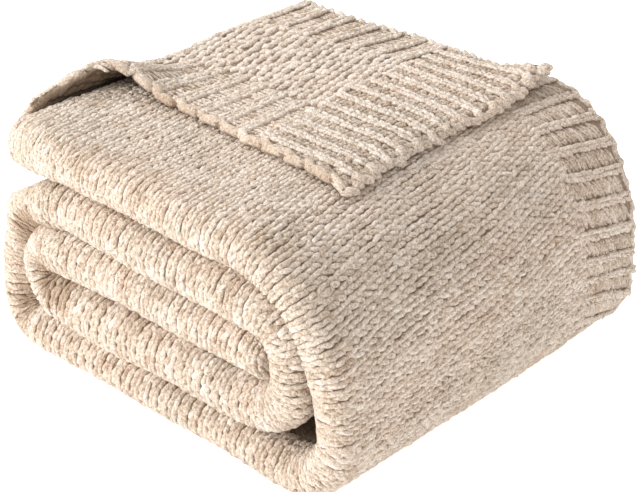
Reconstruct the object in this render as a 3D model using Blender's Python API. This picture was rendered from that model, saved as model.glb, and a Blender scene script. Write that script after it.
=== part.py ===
# A chunky chenille knit throw, folded in four along its length and rolled flat.
#
# The cloth is one sheet. Its middle surface is a grid of points: a row is one place along the
# roll, and a column is one place across the width of the cloth. A Solidify modifier gives the
# sheet its thickness. Sizes are in millimetres until the last step.
#
# The frame: +Z is up, the axis of the roll is along Y, the rounded near folds are at -Y, and the
# broad outer side is at +X. The origin is at the middle of the bottom.

import math

import bmesh
import bpy

# Cloth
THICK = 7.5  # of one layer
NEAR_Y = -194.0  # middle surface of the near folds, at their foremost
FAR_Y = 179.0  # the selvedge of the outer layer
FAR_FOLD_BACK = 4.0  # the fold between layers 4 and 3 stops short of it by this
FAR_INNER_BACK = 2.0  # and so does the hidden selvedge, on layer 2
HEIGHT = 224.0  # about, for the deformations below

# The roll, from the inner end of the cloth outwards, always turning left. Each row is a straight
# run and then a turn. The pitch is from one layer to the next at the end of the row. The funnel is
# how much further back the near fold lies on the inside of the turn than on its outside.
START_X, START_Z, START_HEADING, START_PITCH = 113.0, 115.5, 181.5, 10.0
ROLL = (
    # name, run, radius, turn, pitch, funnel, recess of the near fold
    ("band 3", 229.0, 40.0, 24.0, 12.4, 2.0, 0.0),
    ("inner fold, top", 0.0, 40.0, 26.0, 9.4, 18.0, 0.0),
    ("inner fold", 0.0, 20.2, 64.0, 9.2, 20.0, 0.0),
    ("inner fold, foot", 0.0, 20.2, 64.5, 11.4, 5.0, 0.0),
    ("band 4", 70.0, 400.0, 2.0, 13.4, 0.0, 0.0),
    ("band 4, right", 118.0, 300.0, 4.0, 12.2, 0.0, 0.0),
    ("turn up", 20.0, 40.0, 44.0, 10.2, 0.0, 0.0),
    ("riser", 0.0, 40.0, 40.0, 8.9, 0.0, 0.0),
    ("turn back", 17.0, 30.0, 45.0, 9.0, 0.0, 0.0),
    ("turn back, top", 0.0, 30.0, 46.5, 10.6, 0.0, 0.0),
    ("band 2, right", 60.0, 500.0, 0.0, 11.8, 0.0, 0.0),
    ("band 2", 163.0, 70.0, 22.0, 11.4, 2.0, 0.0),
    ("outer fold, top", 0.0, 70.0, 22.0, 9.6, 12.0, 1.0),
    ("outer fold", 0.0, 112.0, 44.5, 8.7, 19.0, 2.0),
    ("outer fold, foot", 11.4, 21.5, 90.0, 9.6, 8.0, 3.0),
    ("band 5", 85.0, 0.0, 0.0, 9.6, 0.0, 4.0),
    ("band 5, right", 213.0, 0.0, 0.0, 9.6, 0.0, 6.0),
    ("lower corner", 0.0, 48.0, 45.0, 9.2, 0.0, 10.0),
    ("lower corner, top", 0.0, 48.0, 45.0, 8.8, 0.0, 14.0),
    ("side", 30.0, 102.0, 20.0, 8.8, 0.0, 8.0),
    ("upper corner", 0.0, 102.0, 35.0, 9.4, 0.0, 4.0),
    ("upper corner, top", 0.0, 102.0, 35.0, 10.2, 0.0, 1.0),
    ("band A", 184.0, 560.0, 5.0, 9.9, 0.0, 0.0),
)
# place along the cloth, and how far the far edge of the top band stops short there
FAR_SHORT = ((1420.0, 0.0), (1500.0, 6.0), (1585.0, 8.0), (1640.0, 1.0), (1690.0, 15.0), (1735.0, 17.0), (1830.0, 31.0), (1886.0, 34.0))
RUN_STEP = 46.0  # longest stretch between rows
TURN_STEP = 15.0  # degrees between rows in a turn

# How many segments of the grid lie on each layer and fold, across the cloth
SEGMENTS = {"layer 1": 4, "near fold": 8, "layer 4": 4, "far fold": 3, "layer 3": 3, "hidden fold": 4, "layer 2": 3}
FLAP_FINER = 3  # columns of the flap to one of layer 4
HIDDEN_BACK = 3.0  # the hidden near fold lies this much further in than one pitch

# The flap: layer 4 goes on past the nose of band A, turns up round it and lies back over the top.
FLAP_GAP = 1.0
NOSE_STEPS = 8
FLAP_STEPS = 14
# place along the flap from the nose, and where its near edge lies
FLAP_EDGE = ((0, -182.0), (25, -183.0), (38, -172.0), (50, -142.0), (62, -112.0), (90, -88.0), (150, -83.0), (250, -88.0), (340, -96.0))
FLAP_END = ((-100, 120.0), (-60, 116.0), (0, 113.0), (90, 107.0), (150, 98.0), (190, 92.0))  # y, and x of its end hem
FLAP_FAR = ((0, 146.0), (62, 142.0), (100, 150.0), (130, 145.0), (170, 164.0), (230, 163.0), (268, 159.0), (292, 168.0), (330, 177.0))
CORNER_Y = 178.0
ARCH = (-158.0, 42.0, 46.0, 17.0)  # the edge stands up here: x, reach along x, reach along y, height
CORNER = (98.0, 40.0, 60.0, 7.0)  # the far corner lifts: x, reach along x, reach along y, height


def mix(a, b, t):
    return a + (b - a) * t


def ease(t):
    t = min(max(t, 0.0), 1.0)
    return t * t * (3.0 - 2.0 * t)


def bump(t):
    return math.exp(-t * t)


def lookup(table, at):
    """The second column of a two-column table, at this value of the first, eased between rows."""
    if at <= table[0][0]:
        return table[0][1]
    for (a, low), (b, high) in zip(table, table[1:]):
        if at <= b:
            return mix(low, high, (at - a) / (b - a))
    return table[-1][1]


def roll_stations():
    """Rows along the roll: x, z, heading, pitch, funnel, recess and the length of cloth so far."""
    x, z, heading, s = START_X, START_Z, math.radians(START_HEADING), 0.0
    pitch, funnel, recess = START_PITCH, 0.0, 0.0
    stations = [(x, z, heading, pitch, funnel, recess, s)]
    for _name, run, radius, turn, next_pitch, next_funnel, next_recess in ROLL:
        turn = math.radians(turn)
        total = run + radius * turn
        run_steps = max(math.ceil(run / RUN_STEP), 1)
        turn_steps = max(math.ceil(math.degrees(turn) / TURN_STEP - 0.01), 1)
        steps = [(run / run_steps, 0.0)] * run_steps if run else []
        steps += [(radius * turn / turn_steps, turn / turn_steps)] * turn_steps if turn else []
        done = 0.0
        for length, angle in steps:
            if angle:
                x += radius * (math.sin(heading + angle) - math.sin(heading))
                z += radius * (math.cos(heading) - math.cos(heading + angle))
                heading += angle
            else:
                x += length * math.cos(heading)
                z += length * math.sin(heading)
            done += length
            s += length
            t = done / total
            stations.append((x, z, heading, mix(pitch, next_pitch, t), mix(funnel, next_funnel, t), mix(recess, next_recess, t), s))
        pitch, funnel, recess = next_pitch, next_funnel, next_recess
    return stations


def section(pitch, funnel, recess, s):
    """The folded section of the cloth: (y, offset from the middle of the band) for every column."""
    near = NEAR_Y + recess + 1.8 * math.sin(s / 61.0) + 1.1 * math.sin(s / 23.0 + 1.0)
    far = FAR_Y + 2.2 * math.sin(s / 75.0 + 0.6) - lookup(FAR_SHORT, s)
    far_fold = far - FAR_FOLD_BACK + 1.5 * math.sin(s / 88.0 + 2.0)
    far_inner = far - FAR_INNER_BACK + 1.2 * math.sin(s / 67.0 + 4.0)
    big, small = 1.5 * pitch, 0.5 * pitch
    near_centre = near + big
    hidden_centre = near_centre + HIDDEN_BACK + 0.3 * funnel
    n = SEGMENTS
    points = []
    for i in range(n["layer 1"]):
        points.append((mix(far, near_centre, i / n["layer 1"]), -big))
    for i in range(n["near fold"]):
        angle = math.pi * (i / n["near fold"] - 0.5)
        points.append((near_centre - big * math.cos(angle), big * math.sin(angle)))
    for i in range(n["layer 4"]):
        points.append((mix(near_centre, far_fold - small, i / n["layer 4"]), big))
    for i in range(n["far fold"]):
        angle = math.pi * (0.5 - i / n["far fold"])
        points.append((far_fold - small + small * math.cos(angle), pitch + small * math.sin(angle)))
    for i in range(n["layer 3"]):
        points.append((mix(far_fold - small, hidden_centre, i / n["layer 3"]), small))
    for i in range(n["hidden fold"]):
        angle = math.pi * (0.5 - i / n["hidden fold"])
        points.append((hidden_centre - small * math.cos(angle), small * math.sin(angle)))
    for i in range(n["layer 2"] + 1):
        points.append((mix(hidden_centre, far_inner, i / n["layer 2"]), -small))
    # The inside of a turn draws the near folds back into a pocket.
    drawn = []
    for y, offset in points:
        inward = (offset + big) / (2.0 * big)
        fade = max(0.0, 1.0 - max(0.0, y - near) / 150.0) ** 2
        drawn.append((y + funnel * inward * fade, offset))
    return drawn


def settle(x, y, z):
    """Small unevenness of the pile of folds: the far edge of the top sinks, and nothing is quite straight."""
    up = max(z, 0.0) / HEIGHT
    sink = 7.0 * bump((x + 40.0) / 90.0) * ease((y - 80.0) / 90.0)
    valley = 7.0 * bump((x + 150.0) / 60.0) * bump((y + 20.0) / 45.0)
    rise = 6.0 * ease((-x - 60.0) / 90.0)
    wave = 1.2 * math.sin(x / 47.0 + y / 83.0) + 0.9 * math.sin(y / 39.0 - x / 71.0)
    z += up * up * (wave + rise - sink - valley)
    x += 2.0 * up * math.sin(y / 92.0 + 0.5) + 2.4 * ease(x / 190.0) * math.sin(y / 58.0 + 1.3) * math.sin(math.pi * min(up, 1.0))
    return x, y, z


def build_sheet():
    stations = roll_stations()
    mesh = bmesh.new()
    rows = []
    for x, z, heading, pitch, funnel, recess, s in stations:
        across = (-math.sin(heading), math.cos(heading))
        row = []
        for y, offset in section(pitch, funnel, recess, s):
            row.append(mesh.verts.new(settle(x + offset * across[0], y, z + offset * across[1])))
        rows.append(row)
    for low, high in zip(rows, rows[1:]):
        for i in range(len(low) - 1):
            mesh.faces.new((low[i], low[i + 1], high[i + 1], high[i]))
    first = SEGMENTS["layer 1"] + SEGMENTS["near fold"]
    add_flap(mesh, stations, rows[-1][first : first + SEGMENTS["layer 4"] + 1])
    return mesh


def station_at(stations, s):
    """The band's middle line at this length of cloth."""
    for a, b in zip(stations, stations[1:]):
        if s <= b[6]:
            t = (s - a[6]) / (b[6] - a[6])
            return [mix(p, q, t) for p, q in zip(a, b)]
    return list(stations[-1])


def add_flap(mesh, stations, seam):
    end_x, end_z, heading, pitch, _funnel, _recess, end_s = stations[-1]
    over = 1.5 * pitch + THICK + FLAP_GAP  # of the flap above the middle of the band
    under = 1.5 * pitch
    radius = (over + under) / 2.0
    nose_length = math.pi * radius
    centre_z = end_z + (over - under) / 2.0
    seam_y = [vert.co.y for vert in seam]
    shares = [(y - seam_y[0]) / (seam_y[-1] - seam_y[0]) for y in seam_y]
    finer = []
    for a, b in zip(shares, shares[1:]):
        finer += [mix(a, b, i / FLAP_FINER) for i in range(FLAP_FINER)]
    finer.append(1.0)

    def place(along, share):
        edge = lookup(FLAP_EDGE, along)
        far = mix(seam_y[-1], lookup(FLAP_FAR, along), min(along / nose_length, 1.0))
        return mix(edge, far, share)

    before = list(seam)
    for step in range(1, NOSE_STEPS + 1):
        angle = math.pi * step / NOSE_STEPS
        along = nose_length * step / NOSE_STEPS
        row = []
        for share in finer:
            y = place(along, share)
            lift = 0.7 * ARCH[3] * ease(along / nose_length) * bump((y - lookup(FLAP_EDGE, along)) / ARCH[2])
            reach = radius + lift
            row.append(mesh.verts.new(settle(end_x - reach * math.sin(angle), y, centre_z - reach * math.cos(angle))))
        join_rows(mesh, before, row)
        before = row
    for step in range(1, FLAP_STEPS + 1):
        row = []
        for share in finer:
            run = step / FLAP_STEPS
            y = place(nose_length + run * 275.0, share)
            length = run * (lookup(FLAP_END, y) - end_x)
            edge = lookup(FLAP_EDGE, nose_length + length)
            x, z, turned, band_pitch, _f, _r, _s = station_at(stations, end_s - length)
            out = 1.5 * band_pitch + THICK + FLAP_GAP
            out += ARCH[3] * bump((x - ARCH[0]) / ARCH[1]) * bump((y - edge) / ARCH[2])
            out += CORNER[3] * bump((x - CORNER[0]) / CORNER[1]) * bump((y - CORNER_Y) / CORNER[2])
            row.append(mesh.verts.new(settle(x + out * math.sin(turned), y, z - out * math.cos(turned))))
        join_rows(mesh, before, row)
        before = row


def join_rows(mesh, low, high):
    finer = (len(high) - 1) // (len(low) - 1)
    for i in range(len(low) - 1):
        mesh.faces.new((low[i], low[i + 1], *reversed(high[finer * i : finer * (i + 1) + 1])))


def clear_scene():
    for obj in list(bpy.data.objects):
        bpy.data.objects.remove(obj)


def chenille():
    material = bpy.data.materials.new("chenille")
    material.use_nodes = True
    shader = material.node_tree.nodes["Principled BSDF"]
    shader.inputs["Base Color"].default_value = (0.62, 0.50, 0.38, 1.0)
    shader.inputs["Roughness"].default_value = 0.95
    return material


def make_throw():
    sheet = build_sheet()
    bmesh.ops.recalc_face_normals(sheet, faces=sheet.faces[:])
    low = [min(vert.co[i] for vert in sheet.verts) for i in range(3)]
    high = [max(vert.co[i] for vert in sheet.verts) for i in range(3)]
    shift = (-(low[0] + high[0]) / 2.0, -(low[1] + high[1]) / 2.0, -low[2] + THICK / 2.0)
    print("moved by", [round(value, 1) for value in shift], "mm to centre it")
    for vert in sheet.verts:
        vert.co = [(vert.co[i] + shift[i]) * 0.001 for i in range(3)]
    data = bpy.data.meshes.new("throw")
    sheet.to_mesh(data)
    sheet.free()
    throw = bpy.data.objects.new("throw", data)
    bpy.context.scene.collection.objects.link(throw)
    thicken = throw.modifiers.new("thickness", "SOLIDIFY")
    thicken.thickness = THICK * 0.001
    thicken.offset = 0.0
    thicken.use_even_offset = False
    throw.data.materials.append(chenille())
    return throw


clear_scene()
make_throw()
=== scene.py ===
# %% [markdown]
# # A chenille throw, folded and rolled, stitch by stitch
#
# The real throw is one knitted cloth. It is folded in four across its width and then rolled flat in
# five bands, and its last layer goes round the nose of the top band and lies back over the top.
# Pictures of it show three things: the big folds, the cords of plump stitches that run from the
# near folds to the far edge, and the ribbed borders.
#
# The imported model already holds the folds. This script lays the same cloth again with finer steps,
# as a thin closed sheet, and then knits on it: each stitch is a small plump leg that is bent to the
# cloth where it lies. The lesson goes from the frame to the cloth, the stitches and the light.

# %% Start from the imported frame
import math

import bmesh
import bpy
import numpy as np
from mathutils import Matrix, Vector


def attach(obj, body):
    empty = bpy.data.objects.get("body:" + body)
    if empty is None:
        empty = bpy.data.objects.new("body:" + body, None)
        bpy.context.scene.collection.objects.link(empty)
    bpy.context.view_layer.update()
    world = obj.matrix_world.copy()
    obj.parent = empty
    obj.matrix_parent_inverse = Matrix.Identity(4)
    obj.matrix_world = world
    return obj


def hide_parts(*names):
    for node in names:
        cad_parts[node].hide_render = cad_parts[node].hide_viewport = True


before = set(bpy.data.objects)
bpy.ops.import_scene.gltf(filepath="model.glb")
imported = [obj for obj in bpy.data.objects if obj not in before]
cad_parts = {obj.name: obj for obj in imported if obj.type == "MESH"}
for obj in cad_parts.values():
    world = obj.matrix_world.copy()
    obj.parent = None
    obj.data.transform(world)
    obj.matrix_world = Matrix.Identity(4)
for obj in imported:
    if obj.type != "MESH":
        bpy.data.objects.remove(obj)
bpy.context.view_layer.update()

# %% [markdown]
# ## The camera
#
# The picture was taken from 44 degrees round and 30 degrees up with a long lens. A long lens keeps
# the cords nearly parallel, so the distance matters as much as the angle.

# %% Camera
CAMERA_AZIMUTH, CAMERA_ELEVATION = 44.0, 30.0
CAMERA_DISTANCE = 1.447
CAMERA_TARGET = (0.0159, -0.0108, 0.1019)
CAMERA_LENS = 97.55

turn, rise = math.radians(CAMERA_AZIMUTH), math.radians(CAMERA_ELEVATION)
back = Vector((math.sin(turn) * math.cos(rise), -math.cos(turn) * math.cos(rise), math.sin(rise)))
camera_data = bpy.data.cameras.new("camera")
camera_data.lens = CAMERA_LENS
camera_data.sensor_width = 36.0
camera = bpy.data.objects.new("camera", camera_data)
camera.location = Vector(CAMERA_TARGET) + back * CAMERA_DISTANCE
camera.rotation_mode = "QUATERNION"
camera.rotation_quaternion = (-back).to_track_quat("-Z", "Y")
bpy.context.scene.collection.objects.link(camera)
bpy.context.scene.camera = camera
print("camera at", [round(value, 3) for value in camera.location])

# %% [markdown]
# ## The path of the cloth
#
# A roll is easiest to describe as a walk: go straight, turn left by so much at such a radius, and go
# on. The table below is the walk of the middle of the four layers, in millimetres and degrees. It
# goes where the solid's walk goes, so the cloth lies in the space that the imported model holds. Its
# edges are fitted closer to the picture than the solid's, by up to 13 mm: at the left turns the near
# folds are drawn in deeper, and the far edge and the outline of the flap bend more.

# %% Sizes of the cloth, in millimetres
MM = 0.001
THICK = 7.5  # one layer of the solid
HEIGHT = 224.0  # of the bundle, without the raised edge
NEAR_Y, FAR_Y = -194.0, 179.0  # the foremost line of the near folds, and the far edge of layer 1
FAR_FOLD_BACK, FAR_INNER_BACK, HIDDEN_BACK = 4.0, 2.0, 3.0  # how far the folds and edges inside stay back
OUTER, INNER = 1.5, 0.5  # pitches from the middle of the band to its outer and its inner layers
SHIFT = np.array([0.9, 7.8, 0.2])  # from the walk's own origin to the frame's

START_X, START_Z, START_HEADING, START_PITCH = 113.0, 115.5, 181.5, 10.0
ROLL = (
    # name, run, radius, turn, pitch, funnel, recess of the near fold
    ("band 3", 229.0, 40.0, 24.0, 12.4, 2.0, 0.0),
    ("inner fold, top", 0.0, 40.0, 26.0, 9.4, 23.0, 0.0),
    ("inner fold", 0.0, 20.2, 64.0, 9.2, 29.0, 0.0),
    ("inner fold, foot", 0.0, 20.2, 64.5, 11.4, 6.0, 0.0),
    ("band 4", 70.0, 400.0, 2.0, 13.4, 0.0, 0.0),
    ("band 4, right", 118.0, 300.0, 4.0, 12.2, 0.0, 0.0),
    ("turn up", 20.0, 40.0, 44.0, 10.2, 0.0, 0.0),
    ("riser", 0.0, 40.0, 40.0, 8.9, 0.0, 0.0),
    ("turn back", 17.0, 30.0, 45.0, 9.0, 0.0, 0.0),
    ("turn back, top", 0.0, 30.0, 46.5, 10.6, 0.0, 0.0),
    ("band 2, right", 60.0, 500.0, 0.0, 11.8, 0.0, 0.0),
    ("band 2", 163.0, 70.0, 22.0, 11.4, 2.0, 0.0),
    ("outer fold, top", 0.0, 70.0, 22.0, 9.6, 12.0, 1.0),
    ("outer fold", 0.0, 112.0, 44.5, 8.7, 30.0, 2.0),
    ("outer fold, foot", 11.4, 21.5, 90.0, 9.6, 11.0, 3.0),
    ("band 5", 85.0, 0.0, 0.0, 9.6, 0.0, 4.0),
    ("band 5, right", 213.0, 0.0, 0.0, 9.6, 0.0, 11.0),
    ("lower corner", 0.0, 48.0, 45.0, 9.2, 0.0, 13.0),
    ("lower corner, top", 0.0, 48.0, 45.0, 8.8, 0.0, 14.0),
    ("side", 30.0, 102.0, 20.0, 8.8, 0.0, 8.0),
    ("upper corner", 0.0, 102.0, 35.0, 9.4, 0.0, 4.0),
    ("upper corner, top", 0.0, 102.0, 35.0, 10.2, 0.0, 1.0),
    ("band A", 184.0, 560.0, 5.0, 9.9, 0.0, 0.0),
)
# place along the cloth, and how far the far edge of the top band stops short there
FAR_SHORT = ((1420.0, 0.0), (1500.0, 6.0), (1545.0, 4.0), (1590.0, -4.0), (1620.0, -9.0),
             (1655.0, -8.0), (1690.0, 4.0), (1735.0, 13.0), (1830.0, 31.0), (1886.0, 34.0))


def mix(a, b, t):
    return a + (b - a) * t


def ease(t):
    t = np.clip(t, 0.0, 1.0)
    return t * t * (3.0 - 2.0 * t)


def bump(t):
    return np.exp(-t * t)


def lookup(table, at):
    """The second column of a two-column table, at these values of the first."""
    return np.interp(at, [row[0] for row in table], [row[1] for row in table])


def walk_roll(step):
    """Rows along the roll, no further apart than step: x, z, heading, pitch, funnel, recess, length."""
    x, z, heading, s = START_X, START_Z, math.radians(START_HEADING), 0.0
    pitch, funnel, recess = START_PITCH, 0.0, 0.0
    rows = [(x, z, heading, pitch, funnel, recess, s)]
    for _name, run, radius, turned, next_pitch, next_funnel, next_recess in ROLL:
        turned = math.radians(turned)
        arc = radius * turned
        total, done = run + arc, 0.0
        run_steps, arc_steps = max(math.ceil(run / step), 1), max(math.ceil(arc / step), 1)
        steps = [(run / run_steps, 0.0)] * run_steps if run else []
        steps += [(arc / arc_steps, turned / arc_steps)] * arc_steps if turned else []
        for length, angle in steps:
            if angle:
                x += radius * (math.sin(heading + angle) - math.sin(heading))
                z += radius * (math.cos(heading) - math.cos(heading + angle))
                heading += angle
            else:
                x += length * math.cos(heading)
                z += length * math.sin(heading)
            done += length
            s += length
            t = done / total
            rows.append((x, z, heading, mix(pitch, next_pitch, t), mix(funnel, next_funnel, t),
                         mix(recess, next_recess, t), s))
        pitch, funnel, recess = next_pitch, next_funnel, next_recess
    return np.array(rows)


WALK = walk_roll(2.0)
LENGTHS = WALK[:, 6]
END_S = LENGTHS[-1]
BEND = np.gradient(WALK[:, 2], LENGTHS)  # how fast the roll turns, in radians for each millimetre


def counted_up(rate):
    """The running sum of a rate that is given at each row of the walk."""
    return np.concatenate([[0.0], np.cumsum(0.5 * (rate[1:] + rate[:-1]) * np.diff(LENGTHS))])


print("length of cloth in the roll:", round(END_S), "mm")

# %% [markdown]
# ## From a place on the cloth to a place in space
#
# A stitch doesn't know about the room. It knows how far along the cloth it is and how far across.
# These functions turn that pair into a point, and the direction off the cloth comes from two such
# points close together in each direction.

# %% Places in a band
def band_at(s):
    """x, z, heading, pitch, funnel and recess of the middle of the band, at these lengths."""
    return [np.interp(s, LENGTHS, WALK[:, i]) for i in range(6)]


def pitch_at(s):
    return np.interp(s, LENGTHS, WALK[:, 3])


def settle(x, y, z):
    """Small unevenness: the far edge of the top sinks, and the top band and band 2 fill out at the left."""
    up = np.maximum(z, 0.0) / HEIGHT
    sink = 7.0 * bump((x + 40.0) / 90.0) * ease((y - 80.0) / 90.0)
    valley = 7.0 * bump((x + 150.0) / 60.0) * bump((y + 20.0) / 45.0)
    lift = 6.0 * ease((-x - 60.0) / 90.0)
    wave = 1.2 * np.sin(x / 47.0 + y / 83.0) + 0.9 * np.sin(y / 39.0 - x / 71.0)
    z = z + up * up * (wave + lift - sink - valley)
    sag = 7.0 * bump((z - 190.0) / 10.0) * ease((-x - 85.0) / 55.0) * ease((-y - 90.0) / 80.0)
    swell = 12.0 * bump((x + 170.0) / 22.0) * bump((z - 133.0) / 13.0) * ease((-y - 60.0) / 90.0)
    x, z = x - 0.9 * swell, z + 0.2 * swell - sag
    sway = 2.4 * ease(x / 190.0) * np.sin(y / 58.0 + 1.3) * np.sin(math.pi * np.minimum(up, 1.0))
    return np.stack([x + 2.0 * up * np.sin(y / 92.0 + 0.5) + sway, y, z], axis=-1)


def near_line(s):
    """y of the foremost line of the near fold."""
    recess = np.interp(s, LENGTHS, WALK[:, 5])
    return NEAR_Y + recess + 1.8 * np.sin(s / 61.0) + 1.1 * np.sin(s / 23.0 + 1.0)


def far_line(s):
    """y of the free edge of layer 1."""
    return FAR_Y + 2.2 * np.sin(s / 75.0 + 0.6) - lookup(FAR_SHORT, s)


def far_fold_line(s):
    """y of the tip of the fold between layers 4 and 3."""
    return far_line(s) - FAR_FOLD_BACK + 1.5 * np.sin(s / 88.0 + 2.0)


def inner_edge_line(s):
    """y of the free edge of layer 2."""
    return far_line(s) - FAR_INNER_BACK + 1.2 * np.sin(s / 67.0 + 4.0)


def in_band(s, y, share):
    """A place in the band: share is -1.5 pitches on the outer side of the roll, 1.5 on the inner."""
    x, z, heading, pitch, funnel, _recess = band_at(s)
    offset = share * pitch
    inward = (share + OUTER) / (2.0 * OUTER)
    fade = np.maximum(0.0, 1.0 - np.maximum(0.0, y - near_line(s)) / 150.0) ** 2
    return settle(x - offset * np.sin(heading), y + funnel * inward * fade, z + offset * np.cos(heading))


# %% Places on the folds
def round_fold(c, radius):
    """The angle round a fold at c from its tip, and how far c goes beyond the half turn."""
    angle = np.clip(c / radius, -math.pi / 2.0, math.pi / 2.0)
    return angle, np.maximum(np.abs(c) - radius * math.pi / 2.0, 0.0)


def half_fold(s):
    """A quarter turn's length of the near fold, on its middle surface."""
    return OUTER * pitch_at(s) * math.pi / 2.0


def near_fold(s, c):
    """c is across the cloth from the foremost line of the near fold: layer 1 below zero, layer 4 above."""
    big = OUTER * pitch_at(s)
    angle, beyond = round_fold(c, big)
    return in_band(s, near_line(s) + big - big * np.cos(angle) + beyond, OUTER * np.sin(angle))


def near_fold_to_far(s):
    """How far across the free edge of layer 1 is from the foremost line of the near fold."""
    return half_fold(s) + far_line(s) - near_line(s) - OUTER * pitch_at(s)


def far_fold(s, c):
    """The fold between layers 4 and 3. c is zero at its tip, and above zero on layer 3."""
    small = INNER * pitch_at(s)
    angle, beyond = round_fold(c, small)
    return in_band(s, far_fold_line(s) - small + small * np.cos(angle) - beyond, 1.0 - INNER * np.sin(angle))


def inner_edge(s, c):
    """Layer 2, where c is how far a place lies in from its free edge."""
    return in_band(s, inner_edge_line(s) - c, -INNER)


def off_the_cloth(place, u, v, step=1.5):
    """Points and unit directions off the cloth."""
    along = place(u + step, v) - place(u - step, v)
    across = place(u, v + step) - place(u, v - step)
    normal = np.cross(along, across)
    return place(u, v), normal / np.maximum(np.linalg.norm(normal, axis=-1, keepdims=True), 1e-9)


print("near fold to far edge, at the start:", round(float(near_fold_to_far(0.0))), "mm")

# %% [markdown]
# The flap is the last layer. It goes half round a circle at the nose of the top band, and then lies
# back over it. Its near edge and its far corner stand up a little, as soft bumps.

# %% Places on the flap
FLAP_GAP = 1.0  # between the flap and the band under it
FLAP_REACH = 275.0  # from the nose to the end of the flap, along the band
# place along the flap from the nose, and where its near and its far edge lie
FLAP_EDGE = ((0.0, -182.0), (12.0, -181.0), (25.0, -178.0), (35.0, -170.0), (45.0, -152.0), (55.0, -124.0),
             (65.0, -107.0), (90.0, -88.0), (150.0, -83.0), (250.0, -88.0), (340.0, -96.0))
FLAP_FAR = ((0.0, 152.0), (45.0, 150.0), (62.0, 143.0), (85.0, 143.0), (100.0, 147.0), (130.0, 156.0),
            (167.0, 167.0), (230.0, 163.0), (268.0, 156.0), (292.0, 162.0), (330.0, 171.0))
# y, and x of the flap's end there
FLAP_END = ((-100.0, 113.0), (-60.0, 108.0), (0.0, 104.0), (50.0, 102.0), (90.0, 104.0), (150.0, 97.0),
            (190.0, 92.0))
# of the raised parts: x of the middle, half length, half width and height
RAISED_EDGE = (-143.0, 25.0, 34.0, 16.0)
RAISED_CORNER = (98.0, 32.0, 44.0, 10.5)
CORNER_Y = 178.0

NOSE_RADIUS = OUTER * ROLL[-1][4] + (THICK + FLAP_GAP) / 2.0
NOSE = math.pi * NOSE_RADIUS  # the length of cloth that goes round the nose
NOSE_X, BAND_END_Z = WALK[-1, :2]


def raised(part, x, y, middle_y):
    """How far a raised part stands up at this place."""
    middle_x, half_length, half_width, height = part
    return height * bump((x - middle_x) / half_length) * bump((y - middle_y) / half_width)


def flap(along, y):
    """The flap, from the nose of the top band. It faces down at the start, then left, then up."""
    edge = lookup(FLAP_EDGE, along)
    angle = np.clip(along / NOSE_RADIUS, 0.0, math.pi)
    up = raised(RAISED_EDGE, NOSE_X - NOSE_RADIUS * np.sin(angle), y, edge)
    reach = NOSE_RADIUS + up * ease((along - 0.5 * NOSE) / (0.5 * NOSE))
    centre_z = BAND_END_Z + (THICK + FLAP_GAP) / 2.0
    round_nose = settle(NOSE_X - reach * np.sin(angle), y, centre_z - reach * np.cos(angle))
    x, z, heading, pitch, _funnel, _recess = band_at(END_S - np.maximum(along - NOSE, 0.0))
    out = OUTER * pitch + THICK + FLAP_GAP
    out = out + raised(RAISED_EDGE, x, y, edge) + raised(RAISED_CORNER, x, y, CORNER_Y)
    on_top = settle(x + out * np.sin(heading), y, z - out * np.cos(heading))
    return np.where((along < NOSE)[..., None], round_nose, on_top)


def flap_end(y):
    """Place along the flap, from the nose, where it ends at this y."""
    return NOSE + lookup(FLAP_END, y) - NOSE_X


print("round the nose:", round(NOSE, 1), "mm, from x =", round(NOSE_X, 1))

# %% [markdown]
# ## Finishes
#
# Chenille is a soft pile on a twisted core, so it never shines. It is mottled: cream, beige, a little pink and a
# little grey from one stitch to the next. Down between the stitches it is painted darker and browner, as painted
# shade. Each stitch carries its own tint and each point its own depth, which sets that painted shade, as attributes,
# and one node group turns them into colour. A second group makes the pile.

# %% Helpers for node groups
CREAM = (0.90, 0.815, 0.74, 1.0)
BEIGE = (0.70, 0.572, 0.472, 1.0)
GREY = (0.65, 0.555, 0.465, 1.0)
TAN = (0.44, 0.32, 0.225, 1.0)
# the gap colour is painted shade: the pile is mixed towards it down between the stitches
GAP_SHADE = (0.20, 0.12, 0.065, 1.0)
BLACK, WHITE = (0.0, 0.0, 0.0, 1.0), (1.0, 1.0, 1.0, 1.0)


def new_group(name, inputs, outputs):
    group = bpy.data.node_groups.new(name, "ShaderNodeTree")
    for label, kind in inputs:
        group.interface.new_socket(label, in_out="INPUT", socket_type=kind)
    for label, kind in outputs:
        group.interface.new_socket(label, in_out="OUTPUT", socket_type=kind)
    return group, group.nodes.new("NodeGroupInput"), group.nodes.new("NodeGroupOutput")


def add_ramp(tree, stops, fac):
    ramp = tree.nodes.new("ShaderNodeValToRGB")
    ramp.color_ramp.elements[0].position, ramp.color_ramp.elements[0].color = stops[0]
    ramp.color_ramp.elements[1].position, ramp.color_ramp.elements[1].color = stops[-1]
    for position, colour in stops[1:-1]:
        ramp.color_ramp.elements.new(position).color = colour
    tree.links.new(fac, ramp.inputs["Fac"])
    return ramp.outputs["Color"]


def add_noise(tree, vector, scale, detail):
    noise = tree.nodes.new("ShaderNodeTexNoise")
    noise.inputs["Scale"].default_value = scale
    noise.inputs["Detail"].default_value = detail
    tree.links.new(vector, noise.inputs["Vector"])
    return noise.outputs["Fac"]


def add_math(tree, kind, first, second):
    node = tree.nodes.new("ShaderNodeMath")
    node.operation = kind
    for socket, value in zip(node.inputs, (first, second)):
        if isinstance(value, float):
            socket.default_value = value
        else:
            tree.links.new(value, socket)
    return node.outputs[0]


def add_mix(tree, factor, first, second):
    """A mix of two colours, each of which is a socket or a fixed colour."""
    node = tree.nodes.new("ShaderNodeMix")
    node.data_type = "RGBA"
    tree.links.new(factor, node.inputs["Factor"])
    for socket, value in ((node.inputs[6], first), (node.inputs[7], second)):
        if isinstance(value, tuple):
            socket.default_value = value
        else:
            tree.links.new(value, socket)
    return node.outputs[2]


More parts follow.
